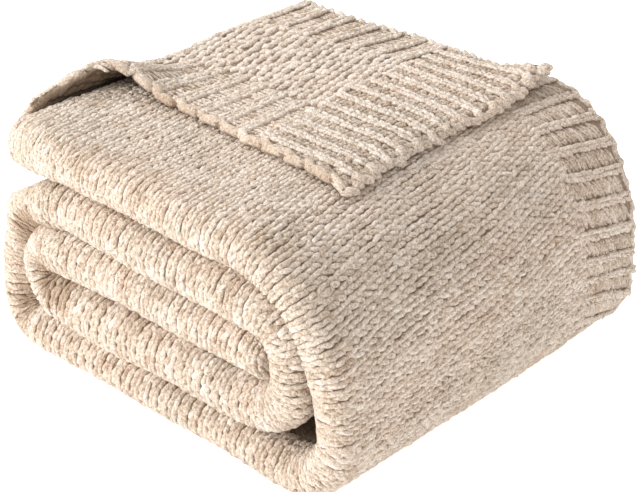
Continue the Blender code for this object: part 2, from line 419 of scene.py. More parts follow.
# %% Colour and pile of the yarn
def make_yarn_colour():
    group, given, out = new_group(
        "yarn colour",
        (("Vector", "NodeSocketVector"), ("Tint", "NodeSocketFloat"), ("Depth", "NodeSocketFloat"),
         ("Flecks", "NodeSocketFloat")),
        (("Colour", "NodeSocketColor"),))
    place = given.outputs["Vector"]
    fleck, patch = (add_math(group, "SUBTRACT", add_noise(group, place, scale, 2.0), 0.5) for scale in (520.0, 26.0))
    fleck = add_math(group, "MULTIPLY", fleck, given.outputs["Flecks"])
    mottle = add_math(group, "ADD", given.outputs["Tint"], fleck)
    mottle = add_math(group, "ADD", mottle, add_math(group, "MULTIPLY", patch, 0.5))
    warm = add_ramp(group, ((0.0, TAN), (0.45, BEIGE), (1.0, CREAM)), mottle)
    cool = add_ramp(group, ((0.0, TAN), (0.45, GREY), (1.0, CREAM)), mottle)
    where_cool = add_ramp(group, ((0.4, BLACK), (0.6, WHITE)), add_noise(group, place, 11.0, 1.0))
    colour = add_mix(group, where_cool, warm, cool)
    # painted shade: where the depth is low the colour is mixed towards the dark gap colour
    open_up = add_ramp(group, ((0.0, BLACK), (0.55, WHITE)), given.outputs["Depth"])
    # painted shadow: small noise pits in the pile are darkened towards the gap colour
    shadow_pits = add_ramp(group, ((0.30, (0.45, 0.45, 0.45, 1.0)), (0.38, WHITE)), add_noise(group, place, 480.0, 1.0))
    colour = add_mix(group, add_math(group, "MULTIPLY", open_up, shadow_pits), GAP_SHADE, colour)
    group.links.new(colour, out.inputs["Colour"])
    return group


def make_pile():
    group, given, out = new_group(
        "pile", (("Vector", "NodeSocketVector"), ("Strength", "NodeSocketFloat")),
        (("Normal", "NodeSocketVector"),))
    height = add_math(group, "ADD", add_noise(group, given.outputs["Vector"], 800.0, 2.0),
                      add_noise(group, given.outputs["Vector"], 380.0, 2.0))
    rough = group.nodes.new("ShaderNodeBump")
    rough.inputs["Distance"].default_value = 0.004
    group.links.new(given.outputs["Strength"], rough.inputs["Strength"])
    group.links.new(height, rough.inputs["Height"])
    group.links.new(rough.outputs["Normal"], out.inputs["Normal"])
    return group


YARN_COLOUR, PILE = make_yarn_colour(), make_pile()
print("node groups:", YARN_COLOUR.name, "and", PILE.name)

# %% [markdown]
# Four finishes come from the same two groups. The near folds and the chain are smoother to look at than the field,
# so they have fewer flecks, and the ground has one tint and one depth all over; that depth is a fixed painted shade,
# which keeps it dark between the stitches.

# %% The chenille finishes
def chenille(name, flecks, pile, tint=None, depth=None):
    """A chenille finish. Tint and depth, which sets the painted shade, come from the piece's attributes unless they
    are given.
    """
    material = bpy.data.materials.new(name)
    material.use_nodes = True
    tree = material.node_tree
    shader = tree.nodes["Principled BSDF"]
    shader.inputs["Roughness"].default_value = 0.92
    shader.inputs["Specular IOR Level"].default_value = 0.15
    shader.inputs["Sheen Weight"].default_value = 0.35
    shader.inputs["Sheen Roughness"].default_value = 0.6
    shader.inputs["Sheen Tint"].default_value = (1.0, 0.93, 0.84, 1.0)
    place = tree.nodes.new("ShaderNodeTexCoord")
    colour = tree.nodes.new("ShaderNodeGroup")
    colour.node_tree = YARN_COLOUR
    colour.inputs["Flecks"].default_value = flecks
    tree.links.new(place.outputs["Object"], colour.inputs["Vector"])
    for label, fixed in (("Tint", tint), ("Depth", depth)):
        if fixed is not None:
            colour.inputs[label].default_value = fixed
            continue
        stored = tree.nodes.new("ShaderNodeAttribute")
        stored.attribute_name = label.lower()
        tree.links.new(stored.outputs["Fac"], colour.inputs[label])
    tree.links.new(colour.outputs["Colour"], shader.inputs["Base Color"])
    rough = tree.nodes.new("ShaderNodeGroup")
    rough.node_tree = PILE
    rough.inputs["Strength"].default_value = pile
    tree.links.new(place.outputs["Object"], rough.inputs["Vector"])
    tree.links.new(rough.outputs["Normal"], shader.inputs["Normal"])
    return material


STITCH_FINISH = chenille("chenille stitches", flecks=2.3, pile=0.7)
FOLD_FINISH = chenille("chenille folds", flecks=1.8, pile=0.6)
CHAIN_FINISH = chenille("chenille chain", flecks=1.5, pile=0.5)
# the ground's fixed depth is painted shade, dark brown where it shows between the stitches
GROUND_FINISH = chenille("chenille ground", flecks=1.5, pile=0.8, tint=0.1, depth=0.2)
print("finishes:", ", ".join(finish.name for finish in (STITCH_FINISH, FOLD_FINISH, CHAIN_FINISH, GROUND_FINISH)))

# %% [markdown]
# ## The ground of the cloth
#
# Under the stitches lies a plain sheet, where a maker would see the backs of the loops. It could be
# a solid block, but a Solidify modifier on one surface follows every fold, so that is what is done
# here: rows go along the roll, and columns go across all four layers in one back-and-forth section.
# The rows are further apart where the roll runs straight, to save faces for the stitches. The
# modifier is then applied, so that the sheet is closed.

# %% Helpers for sheets
GROUND_THICK = 3.2


def add_grid(mesh, points):
    """Faces between neighbouring points of a grid, which is (rows, columns, 3) in millimetres."""
    grid = [[mesh.verts.new(point) for point in row] for row in points]
    for i in range(len(grid) - 1):
        for j in range(len(grid[0]) - 1):
            mesh.faces.new((grid[i][j], grid[i][j + 1], grid[i + 1][j + 1], grid[i + 1][j]))
    return grid


def finish_piece(obj, finish):
    obj.data.materials.clear()
    obj.data.materials.append(finish)
    for face in obj.data.polygons:
        face.use_smooth = True
    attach(obj, "root")
    return obj


def closed_sheet(name, mesh):
    """A closed sheet from a surface in millimetres: moved to the frame, thickened and applied."""
    for vert in mesh.verts:
        vert.co = (np.array(vert.co) + SHIFT) * MM
    data = bpy.data.meshes.new(name)
    mesh.to_mesh(data)
    mesh.free()
    sheet = bpy.data.objects.new(name, data)
    bpy.context.scene.collection.objects.link(sheet)
    thicken = sheet.modifiers.new("thickness", "SOLIDIFY")
    thicken.thickness, thicken.offset = GROUND_THICK * MM, 0.0
    bpy.context.view_layer.update()
    applied = bpy.data.meshes.new_from_object(sheet.evaluated_get(bpy.context.evaluated_depsgraph_get()))
    sheet.modifiers.clear()
    sheet.data = applied
    return finish_piece(sheet, GROUND_FINISH)


print("ground:", GROUND_THICK, "mm thick, under stitches on cloth of", THICK, "mm")

# %% Lay the ground
STRAIGHT_STEP, TURN_STEP, FLAP_STEP = 14.0, 8.0, 6.0  # from row to row of the ground
COLUMNS = {"layer 1": 26, "near fold": 12, "layer 4": 18, "far fold": 6, "layer 3": 8, "hidden fold": 6,
           "layer 2": 9}
FAR_HEM = 3.0  # how far the ground stops short of the flap's far edge, under its chain


def section(s):
    """Every column of the folded section at these lengths: y before the funnel, and share of the pitch."""
    pitch, funnel = band_at(s)[3:5]
    near, far, fold_tip, inner = near_line(s), far_line(s), far_fold_line(s), inner_edge_line(s)
    big, small = OUTER * pitch, INNER * pitch
    near_centre = near + big
    hidden = near_centre + HIDDEN_BACK + 0.3 * funnel
    columns = []
    for name, count in COLUMNS.items():
        for i in range(count + (name == "layer 2")):
            t = i / count
            angle = math.pi * (t - 0.5)
            columns.append({
                "layer 1": (mix(far, near_centre, t), -OUTER),
                "near fold": (near_centre - big * math.cos(angle), OUTER * math.sin(angle)),
                "layer 4": (mix(near_centre, fold_tip - small, t), OUTER),
                "far fold": (fold_tip - small + small * math.cos(angle), 1.0 - INNER * math.sin(angle)),
                "layer 3": (mix(fold_tip - small, hidden, t), INNER),
                "hidden fold": (hidden - small * math.cos(angle), -INNER * math.sin(angle)),
                "layer 2": (mix(hidden, inner, t), -INNER),
            }[name])
    return columns


def ground_rows():
    """Lengths of the rows along the roll: close together where it turns, further apart where it doesn't."""
    counted = counted_up(np.where(np.abs(BEND) > 0.004, 1.0 / TURN_STEP, 1.0 / STRAIGHT_STEP))
    return np.interp(np.linspace(0.0, counted[-1], math.ceil(counted[-1]) + 1), counted, LENGTHS)


def make_ground():
    rows = ground_rows()
    mesh = bmesh.new()
    grid = add_grid(mesh, np.stack([in_band(rows, y, share) for y, share in section(rows)], axis=1))
    first = COLUMNS["layer 1"] + COLUMNS["near fold"]
    before = grid[-1][first:first + COLUMNS["layer 4"] + 1]  # the flap goes on from layer 4
    seam_y = np.array([vert.co.y for vert in before])
    shares = (seam_y - seam_y[0]) / (seam_y[-1] - seam_y[0])
    flap_rows = []
    for along in [step * FLAP_STEP for step in range(1, int(NOSE / FLAP_STEP) + 1)] + [NOSE]:
        far = mix(seam_y[-1], lookup(FLAP_FAR, along) - FAR_HEM, min(along / NOSE, 1.0))
        flap_rows.append((np.full_like(shares, along), mix(lookup(FLAP_EDGE, along), far, shares)))
    for step in range(1, int(FLAP_REACH / FLAP_STEP) + 1):
        run = step * FLAP_STEP / FLAP_REACH
        along = NOSE + run * FLAP_REACH
        y = mix(lookup(FLAP_EDGE, along), lookup(FLAP_FAR, along) - FAR_HEM, shares)
        flap_rows.append((NOSE + run * (flap_end(y) - NOSE), y))
    for along, y in flap_rows:
        row = [mesh.verts.new(point) for point in flap(along, y)]
        for j in range(len(row) - 1):
            mesh.faces.new((before[j], before[j + 1], row[j + 1], row[j]))
        before = row
    bmesh.ops.recalc_face_normals(mesh, faces=mesh.faces[:])
    return closed_sheet("throw_ground", mesh)


ground = make_ground()
lowest = min(vert.co.z for vert in ground.data.vertices)
print("ground:", len(ground.data.polygons), "faces, lowest point", round(lowest / MM, 2), "mm")

# %% [markdown]
# ## One stitch
#
# The cords of this knit are rows of slanted legs, each a soft lozenge that dives under the next. One
# leg is a sphere, pulled long, squared a little so that its neighbours close the gap, and bent in a
# slight S. Thousands of them are needed, so it has few faces, and it is copied with arrays, which is
# far quicker than one object for each.

# %% The form of a leg
def leg_form(rings, sides):
    """Points of one leg, from -1 to 1 along, across and off the cloth, and its triangles."""
    mesh = bmesh.new()
    bmesh.ops.create_uvsphere(mesh, u_segments=sides, v_segments=rings, radius=1.0)
    bmesh.ops.triangulate(mesh, faces=mesh.faces[:])
    mesh.verts.ensure_lookup_table()
    along = np.array([vert.co.z for vert in mesh.verts])
    across = np.array([vert.co.y for vert in mesh.verts])
    off = np.array([vert.co.x for vert in mesh.verts])
    girth = np.sqrt(np.maximum(1.0 - along ** 2, 1e-9))
    fuller = (1.0 - np.abs(along) ** 2.6) ** 0.5 / girth
    across = across * np.where(girth > 1e-3, fuller, 1.0) + 0.16 * np.sin(math.pi * along)
    off = off * np.where(girth > 1e-3, fuller, 1.0) - 0.40 * along ** 2
    # triangulate lists its faces in no fixed order, so they are sorted, each from its lowest corner on
    corners = [[vert.index for vert in face.verts] for face in mesh.faces]
    faces = np.array(sorted(loop[loop.index(min(loop)):] + loop[:loop.index(min(loop))] for loop in corners))
    mesh.free()
    return np.stack([along, across, off], axis=1), faces


LEG = leg_form(rings=7, sides=6)
SMALL_LEG = leg_form(rings=5, sides=5)
print("a leg has", len(LEG[1]), "triangles, and a small one", len(SMALL_LEG[1]))

# %% [markdown]
# ## Laying the legs
#
# A leg is a row of numbers: where it lies on the cloth, how it is turned, its size, how far it stands
# off and its tint. The function below bends each one to the cloth. The order of the legs and of the
# random draws is fixed, so the knitting is the same each time.

# %% A table of legs
rng = np.random.default_rng(7)
LIFT = 1.75  # middle of a leg off the middle of the cloth
U, V, LENGTH, TINT = 0, 1, 3, 7  # columns of the table that are used by name


def legs(u, v, angle, length, width, high, lift=LIFT, tint=0.5, flank=0.0):
    """One row for each leg. The angle is from across towards along, and flank is the side in a groove, which gets
    painted shade.
    """
    u = np.asarray(u, float).ravel()
    values = (u, v, angle, length, width, high, lift, tint, flank)
    return np.stack([np.broadcast_to(np.asarray(value, float).ravel(), u.shape) for value in values], axis=1)


def uneven(rows, turn=5.0, size=0.09, shift=0.3, tint=0.08, bright=0.08):
    """Each leg strays by about so much in turn, size, place and tint, and this share of them is bright."""
    rows = rows.copy()
    count = len(rows)
    rows[:, U] += rng.normal(0.0, shift, count)
    rows[:, V] += rng.normal(0.0, shift, count)
    rows[:, 2] += np.radians(rng.normal(0.0, turn, count))
    rows[:, 3:6] *= 1.0 + np.clip(rng.normal(0.0, size, (count, 3)), -0.2, 0.2)
    rows[:, 6] += rng.normal(0.0, 0.18, count)
    rows[:, TINT] += rng.normal(0.0, tint, count) + 0.22 * (rng.random(count) > 1.0 - bright)
    return rows


sample = legs([0.0, 8.0], 0.0, 0.0, 14.0, 5.0, 5.2)
print("a table of", len(sample), "legs has", sample.shape[1], "columns")

# %% Knit a piece
FUZZ = 0.24  # how far each point of a leg strays, for the tufts of the pile
SOLE = 0.35  # lowest that the foot of a leg may lie above the floor


def piece_of_triangles(name, points, triangles, attributes):
    """An object from arrays: all its points in metres, its triangles, and a value for each point."""
    data = bpy.data.meshes.new(name)
    data.vertices.add(len(points))
    data.vertices.foreach_set("co", points.astype(np.float32).ravel())
    data.loops.add(triangles.size)
    data.loops.foreach_set("vertex_index", triangles.astype(np.int32).ravel())
    data.polygons.add(len(triangles))
    data.polygons.foreach_set("loop_start", np.arange(0, triangles.size, 3, dtype=np.int32))
    data.update(calc_edges=True)
    for label, value in attributes.items():
        data.attributes.new(label, "FLOAT", "POINT").data.foreach_set("value", value.astype(np.float32).ravel())
    piece = bpy.data.objects.new(name, data)
    bpy.context.scene.collection.objects.link(piece)
    mesh = bmesh.new()
    mesh.from_mesh(data)
    if mesh.calc_volume(signed=True) < 0.0:
        bmesh.ops.reverse_faces(mesh, faces=mesh.faces[:])
        mesh.to_mesh(data)
    mesh.free()
    return piece


def knit(name, place, rows, form=LEG, side=1.0, finish=STITCH_FINISH, openness=1.0):
    """A piece of legs on the cloth at place(u, v). Openness below 1 paints them darker and browner, as painted
    crevice shade.
    """
    points, faces = form
    u, v, angle, length, width, high, lift, tint, flank = (column[:, None] for column in rows.T)
    along, across, off = points[:, 0][None], points[:, 1][None], points[:, 2][None]
    du = length / 2.0 * along * np.sin(angle) + width / 2.0 * across * np.cos(angle)
    dv = length / 2.0 * along * np.cos(angle) - width / 2.0 * across * np.sin(angle)
    at, normal = off_the_cloth(place, u + du, v + dv)
    lumps = 1.0 + 0.10 * np.sin(9.0 * along + 13.0 * tint + u) * np.cos(2.0 * across + v)
    stand = lift + high / 2.0 * off * lumps
    where = at + normal * stand[..., None] * side + SHIFT
    where = where + rng.normal(0.0, FUZZ, where.shape)
    where[..., 2] = np.maximum(where[..., 2], SOLE + 0.25 * (off + 1.0))
    # painted shade: the low points of each leg, and its flank in the groove, go towards the gap colour
    depth = openness * np.clip((off + 1.25) / 1.9 - 0.8 * np.maximum(flank * across - 0.3, 0.0), 0.0, 1.0)
    count, each = len(rows), len(points)
    triangles = (faces[None] + (np.arange(count) * each)[:, None, None]).reshape(-1, 3)
    piece = piece_of_triangles(name, where.reshape(-1, 3) * MM, triangles, {
        "tint": np.broadcast_to(tint, where.shape[:2]), "depth": np.broadcast_to(depth, where.shape[:2])})
    print(f"{name}: {count} legs, {len(triangles)} triangles")
    return finish_piece(piece, finish)


# %% [markdown]
# ## The field of cords
#
# The cords run from the far edge over the top of each band, round its near fold and under. Round a
# turn of the roll the outside has further to go than the inside, so the cords are spaced by a line
# that lies a little outside the middle of the band.

# %% Cord lines along the roll
# place along the cloth, and how far it is from column to column there
CORD = ((0.0, 11.0), (1385.0, 11.0), (1450.0, 10.4), (1600.0, 9.4), (2000.0, 9.6))


def cord_lines():
    """Lengths along the roll, one for each cord, and the room that each has."""
    counted = counted_up((1.0 + 0.6 * OUTER * WALK[:, 3] * BEND) / lookup(CORD, LENGTHS))
    lines = np.interp(np.arange(0.5, counted[-1], 1.0), counted, LENGTHS)
    return lines, np.gradient(lines)


def within(low, high):
    return CORDS[(CORDS >= low) & (CORDS < high)]


CORDS, ROOM = cord_lines()
print(len(CORDS), "cords along the roll")

# %% [markdown]
# Each column is a row of V shapes: two legs, one slanting to each side. They could be one V-shaped
# form, but two legs can stray each in its own way, as soft yarn does. On the right side of the
# bundle the real columns climb towards the far edge, as if the cloth was rolled a little askew.

# %% The stitches of a cord
STEP = 8.0  # from one stitch to the next in a column
LEG_LENGTH, LEG_HEIGHT = 14.0, 5.2
SLANT = math.radians(11.0)  # of each leg of a stitch, to its own side
# place along the cloth, and how far the columns climb along it for each step to the far side
LEAN = ((950.0, 0.0), (1100.0, 0.06), (1280.0, 0.20), (1450.0, 0.19), (1600.0, 0.14), (1886.0, 0.13))


def along_cords(s, low, high, wander=0.9):
    """Places along each cord from low to high, one for each stitch: (s, c, cord number)."""
    u, v, number = [], [], []
    for k, (line, start, end) in enumerate(zip(s, low, high)):
        c = np.arange(start, end, STEP)
        u.append(line + wander * np.sin(c / 31.0 + line / 65.0) + 0.3 * wander * np.sin(c / 13.0 + line / 12.0))
        v.append(c)
        number.append(np.full_like(c, k))
    return np.concatenate(u), np.concatenate(v), np.concatenate(number)


def climb(s, c):
    return lookup(LEAN, s) * np.maximum(-c - half_fold(s), 0.0)


def cord_legs(s, low, high, base_tint=0.55, **changes):
    """Two legs for each stitch, one to each side of its column."""
    u, v, number = along_cords(s, low, high)
    room = np.interp(u, CORDS, ROOM)
    leaning = lookup(LEAN, u) * (v < -half_fold(u))
    tint = base_tint + 0.07 * np.sin(1.9 * number)
    rows = [legs(u + climb(u, v) + hand * 0.222 * room, v + 0.9 * hand, -hand * SLANT - leaning, LEG_LENGTH,
                 0.545 * room, LEG_HEIGHT, tint=tint, flank=hand) for hand in (-1.0, 1.0)]
    rows = uneven(np.concatenate(rows), shift=0.22, **changes)
    return rows[rows[:, U] < END_S + 3.0]


print("stitches", STEP, "mm apart, slanted", round(math.degrees(SLANT)), "degrees to each side")

# %% [markdown]
# The near folds are what the front of the picture shows: five bands of cords standing upright. They
# are knitted from the crevice above each band to the crevice below it. Inside the left turns little
# light gets in and the pile looks browner, so the tint and the openness fall there.

# %% Near folds
CREVICE_BELOW, CREVICE_ABOVE = 9.0, 12.0  # how far the cords go in, past the half turn of the fold
# place along the cloth, and how much painted shade darkens the hollow inside the turn of the roll there
HOLLOW_SHADE = ((225.0, 0.0), (250.0, 0.6), (275.0, 0.6), (300.0, 1.0), (325.0, 0.5), (340.0, 0.0), (920.0, 0.0),
          (945.0, 0.9), (975.0, 0.9), (1005.0, 0.3), (1035.0, 0.4), (1060.0, 0.9), (1085.0, 0.0))
for name, low, high in (("near_stitches_inner", 0.0, 640.0), ("near_stitches_middle", 640.0, 1300.0),
                        ("near_stitches_outer", 1300.0, END_S)):
    lines = within(low, high)
    quarter = half_fold(lines)
    rows = cord_legs(lines, -quarter - CREVICE_BELOW, quarter + CREVICE_ABOVE, base_tint=0.42, tint=0.09)
    # painted shade in the hollows of the left turns: the tint and the openness fall there
    hollow_shade = lookup(HOLLOW_SHADE, rows[:, U]) * ease((rows[:, V] + 7.0) / 9.0)
    rows[:, TINT] -= 0.7 * hollow_shade
    knit(name, near_fold, rows, finish=FOLD_FINISH, openness=1.15 - 0.92 * hollow_shade[:, None])

# %% [markdown]
# The outer side is one long field of cords. It comes into the open on the left fold, goes along the
# bottom and up the right side, and over the top until the flap covers it. Its last hand's width at
# the far edge is a ribbed border, so the field stops there. The stitches of the left and the bottom
# have fewer faces, because they are seen from further off.

# %% Outer field
OUTER_START = 850.0  # where the outer side of the cloth comes into the open
LEFT_END, BOTTOM_END = 1090.0, 1385.0
BORDER = 78.0  # depth of the ribbed border on the outer side


def under_flap(s, c):
    """Where the flap hides the top band, apart from a margin that can be seen into."""
    place = near_fold(s, c)
    along = NOSE + END_S - s
    margin_x = lookup(FLAP_END, place[..., 1]) - 22.0
    return (s > 1640.0) & (place[..., 0] < margin_x) & (place[..., 1] > lookup(FLAP_EDGE, along) + 62.0)


def border_depth(s):
    return BORDER + 9.0 * np.sin(s / 90.0)


def open_rows(rows):
    return rows[~under_flap(rows[:, U], rows[:, V])]


for name, low, high in (("left_stitches", OUTER_START, LEFT_END), ("bottom_stitches", LEFT_END, BOTTOM_END),
                        ("side_stitches", BOTTOM_END, 1560.0), ("shoulder_stitches", 1560.0, 1700.0),
                        ("top_stitches", 1700.0, END_S)):
    lines = within(low, high)
    rows = cord_legs(lines, -near_fold_to_far(lines) + border_depth(lines), -half_fold(lines) - CREVICE_BELOW)
    knit(name, near_fold, open_rows(rows), SMALL_LEG if high <= BOTTOM_END else LEG)

# %% [markdown]
# The border is pale ribs with ladders of thin rungs between them. A rib is two or three strands of
# legs side by side, and a ladder is a row of thin legs that lie nearly across it. The ribs are spaced
# evenly on the outside of the roll, where the eye sees them.

# %% Ribs and ladders
RIB = 24.0  # from one rib to the next
# place along the cloth, and how far the ribs of the border run down the roll for each step to the edge
DROOP = ((1250.0, 0.0), (1385.0, 0.28), (1450.0, 0.26), (1530.0, 0.18), (1600.0, 0.04), (1650.0, 0.0))


def outside_stretch(s):
    """How much longer the outside of the roll is than the middle of the band."""
    return 1.0 + OUTER * pitch_at(s) * np.interp(s, LENGTHS, BEND)


OUTSIDE = counted_up(outside_stretch(LENGTHS))


def rib_lines(low, high):
    """Lengths along the roll for the ribs, evenly spaced on its outside."""
    first, last = np.interp([low, high], LENGTHS, OUTSIDE)
    return np.interp(np.arange(first + RIB / 2.0, last, RIB), OUTSIDE, LENGTHS)


def ribbed_border(u, ends, stretch=1.0, rise=0.0, droop=0.0, rib_width=9.6, strands=2, lift=2.2,
                  rung=3.6, rung_width=4.0, rung_lift=1.6, rung_tint=0.46):
    """Ribs across the cloth at each u, with ladders of rungs between them. ends is (first, last) for each."""
    rows = []
    stretch, rise, droop = (np.broadcast_to(value, u.shape) for value in (stretch, rise, droop))
    for k, (line, (start, end), wide) in enumerate(zip(u, ends, stretch)):
        c = np.arange(start, end, 7.0)
        up = rise[k] - droop[k] * (end - c)
        for strand in range(strands):
            place, hand = (strand + 0.5) / strands - 0.5, 1.0 if strand % 2 else -1.0
            u_rib = line + place * 0.9 * rib_width / wide + 0.6 * np.sin(c / 17.0 + k) + up
            rows.append(uneven(legs(u_rib, c + hand, -hand * SLANT + droop[k], 12.5,
                                    1.1 * rib_width / strands / wide, 5.6, lift=lift, tint=0.6, flank=hand)))
        c = np.arange(start + 2.0, end, rung)
        up = rise[k] - droop[k] * (end - c)
        u_gap = line + RIB / 2.0 / wide + 0.5 * np.sin(c / 9.0 + k) + up
        rows.append(uneven(legs(u_gap, c, math.radians(72.0), (RIB - rib_width + 5.0) / wide, rung_width, 3.8,
                                lift=rung_lift, tint=rung_tint), turn=7.0, tint=0.1))
    return np.concatenate(rows)


for name, low, high in (("left_border", OUTER_START, LEFT_END), ("bottom_border", LEFT_END, BOTTOM_END),
                        ("side_border", BOTTOM_END, 1640.0)):
    lines = rib_lines(low, high)
    edge = -near_fold_to_far(lines)
    ends = np.stack([edge + 5.0, edge + border_depth(lines) + 4.0], axis=1)
    knit(name, near_fold, open_rows(ribbed_border(
        lines, ends, outside_stretch(lines), rise=climb(lines, ends[:, 1]), droop=lookup(DROOP, lines))))

# %% [markdown]
# The cut of the cloth has no cut at all: its sides are a chain of stitches, the selvedge. On the far
# side of the pile each band shows three edges: the chain of layer 1, the fold between layers 4 and 3,
# and the chain of layer 2.

# %% Far edges
def edge_chain(s, c, tint=0.5):
    """A chain of legs that lie along the edge, in turn a little to each side."""
    sway = np.where(np.arange(len(s)) % 2 == 0, 1.0, -1.0)
    rows = legs(s, c + 1.1 * sway, math.radians(90.0) + 0.22 * sway, 15.0, 7.0, 7.6, lift=0.0, tint=tint)
    return uneven(rows, turn=3.0)


lines = within(0.0, END_S)
knit("far_fold_stitches", far_fold, uneven(legs(
    np.repeat(lines, 3), np.tile([-8.0, 0.0, 8.0], len(lines)), SLANT, 14.5, 5.6, 5.0)), SMALL_LEG)
chain = np.interp(np.arange(4.0, OUTSIDE[-1], 9.5), OUTSIDE, LENGTHS)
knit("outer_selvedge", near_fold, edge_chain(chain, -near_fold_to_far(chain) + 2.5, tint=0.6))
knit("inner_selvedge", inner_edge, edge_chain(chain, np.full_like(chain, 2.5)), SMALL_LEG)

# %% [markdown]
# The band has two ends: the start of the cloth inside the roll, and the place at the nose where three
# of its layers stop. Each is closed by a full round hem. Its surface is the near fold again, with the
# layers drawn together towards the tip.

# %% Ends of the bands
END_DEPTH_OUT, END_ARC = 11.0, 22.0  # how far a hem stands out, and the cloth from its rim to its tip


def band_end(s, ahead, slope):
    """The surface that closes the band at s. On it u goes from the rim to the tip."""
    def place(u, c):
        heading, pitch = band_at(np.full_like(u, s))[2:4]
        big = OUTER * pitch
        turned = np.clip(u / END_ARC, -0.3, 1.0) * math.pi / 2.0
        drawn = np.maximum(np.cos(turned), 0.0) ** 0.35
        angle, beyond = round_fold(c, big)
        fuller = 1.0 + 0.25 * np.sin(turned) * np.maximum(np.sin(angle), 0.0)
        point = in_band(np.full_like(u, s), near_line(s) + big - big * drawn * np.cos(angle) + beyond,
                        OUTER * np.sin(angle) * drawn * fuller)
        out = ahead * END_DEPTH_OUT * np.sin(turned) * (1.0 + slope * np.sin(angle))
        return point + np.stack([out * np.cos(heading), 0.0 * out, out * np.sin(heading)], axis=-1)
    return place


end_grounds = []
for name, s, ahead, slope, reach in (("inner_end", 0.0, -1.0, 0.0, 80.0), ("outer_end", END_S, 1.0, 0.35, 70.0)):
    surface = band_end(s, ahead, slope)
    c = np.arange(-reach, reach, 7.0)
    hem = [legs(np.full_like(c, u), c, slant, 12.5, 6.4, 5.4, lift=1.0)
           for u, slant in ((2.0, 0.2), (8.0, -0.2), (14.0, 0.2), (19.5, -0.2))]
    knit(name + "_stitches", surface, uneven(np.concatenate(hem), shift=0.4), side=ahead)
    mesh = bmesh.new()
    add_grid(mesh, surface(*np.meshgrid(np.linspace(0.0, END_ARC, 8),
                                        np.linspace(-reach - 30.0, reach + 30.0, 56), indexing="ij")))
    end_grounds.append(closed_sheet(name + "_ground", mesh))
print(len(end_grounds), "ends closed")

# %% [markdown]
# ## The flap
#
# The last layer shows the other side of the knit, the purl side: short S-shaped bumps in rows. Three
# borders frame it. Along the near and far edges the ribs run as the cords do, and along the end they
# run the other way, as pale double cords with grainy bands between.

# %% Flap field
END_DEPTH, NEAR_DEPTH, FAR_DEPTH = 98.0, 74.0, 64.0  # depths of the three borders
BUMP_ALONG, BUMP_ACROSS = 7.9, 9.6  # from one bump to the next


def grid_on_flap(pitch_u, pitch_v, low_u):
    u, v = np.meshgrid(np.arange(low_u, NOSE + 340.0, pitch_u), np.arange(-190.0, 190.0, pitch_v), indexing="ij")
    return u.ravel(), v.ravel()


u, v = grid_on_flap(BUMP_ALONG, BUMP_ACROSS, -20.0)
v = v + 3.0 * np.round(u / BUMP_ALONG) % BUMP_ACROSS  # each row is set off from the last
u = u - 0.20 * v
grown = ease((u - 20.0) / 60.0)  # the borders reach their depth on top, past the nose
in_field = (u > 12.0) & (u < flap_end(v) - END_DEPTH)
in_field &= (v > lookup(FLAP_EDGE, u) + NEAR_DEPTH * grown) & (v < lookup(FLAP_FAR, u) - FAR_DEPTH * grown)
u, v = u[in_field], v[in_field]
knit("flap_field", flap, uneven(legs(u + 0.9 * np.sin(v / 27.0 + u), v, math.radians(4.0), 12.8, 7.3, 5.8,
                                     tint=0.66, flank=0.8), turn=8.0, shift=0.5))

# %% [markdown]
# The near and the far border of the flap are ribs and ladders again. They could be the same as on
# the outer side, but the picture shows them wider in the rib and with thinner rungs, so the same
# function is given other sizes.

# %% Near and far borders of the flap
def flap_ribs(y):
    """The ribs of the flap that start before its end border, at this y."""
    ribs = np.arange(34.0, NOSE + 300.0, RIB)
    return ribs[ribs < flap_end(y) - END_DEPTH + 6.0]


ribs = flap_ribs(-80.0)
edge = lookup(FLAP_EDGE, ribs)
knit("flap_near_border", flap, ribbed_border(
    ribs, np.stack([edge + 7.0, edge + NEAR_DEPTH], axis=1), rib_width=14.0, strands=3, lift=1.8,
    rung=4.7, rung_width=3.3, rung_lift=1.2, rung_tint=0.5))
ribs = flap_ribs(120.0)
edge = lookup(FLAP_FAR, ribs)
knit("flap_far_border", flap, ribbed_border(
    ribs, np.stack([edge - FAR_DEPTH, edge - 4.0], axis=1), rib_width=12.0,
    rung=4.4, rung_width=3.3, rung_lift=0.9, rung_tint=0.42))

# %% [markdown]
# The end border runs the other way. Each pale cord is two strands that stand high, the band beside
# it is small dark grains at all angles, and a round loop at the tip of each cord makes the edge wavy.

# %% End border of the flap
END_RIB = 18.4  # from one cord of the end border to the next


def end_border():
    rows = []
    for k, y in enumerate(np.arange(-94.0, 178.0, END_RIB)):
        end = float(flap_end(y))
        u = np.arange(end - END_DEPTH, end - 7.0, 6.5)
        for side in (-1.0, 1.0):
            v = y + side * 2.1 + 0.5 * np.sin(u / 19.0 + k)
            rows.append(uneven(legs(u, v, math.radians(90.0) + side * 0.16, 11.5, 4.6, 5.2, lift=3.0, tint=0.72,
                                    flank=-side)))
        u, v = np.meshgrid(np.arange(end - END_DEPTH + 2.0, end - 8.0, 4.6), y + np.array([5.8, 9.2, 12.6]),
                           indexing="ij")
        rows.append(uneven(legs(u.ravel(), v.ravel(), math.radians(40.0), 6.6, 4.6, 4.6, lift=1.4, tint=0.34),
                           turn=25.0, shift=0.6))
        rows.append(uneven(legs([end - 7.0], [y], math.radians(80.0), 10.5, 9.0, 9.0, lift=1.6, tint=0.55),
                           turn=12.0))
    rows = np.concatenate(rows)
    inside = (rows[:, V] > lookup(FLAP_EDGE, rows[:, U]) + 5.0) & (rows[:, V] < lookup(FLAP_FAR, rows[:, U]) - 3.0)
    return rows[inside]


knit("flap_end_border", flap, end_border())

# %% [markdown]
# The near edge of the flap is a plump chain in beads. The beads are laid by the length walked along
# the edge, which curves, and they are short on its raised part and long after it. The end has a hem
# of round loops, and the far edge a plainer chain.

# %% Flap edges
RAISED_LENGTH = 120.0  # of the near edge, from the nose to the end of its raised part

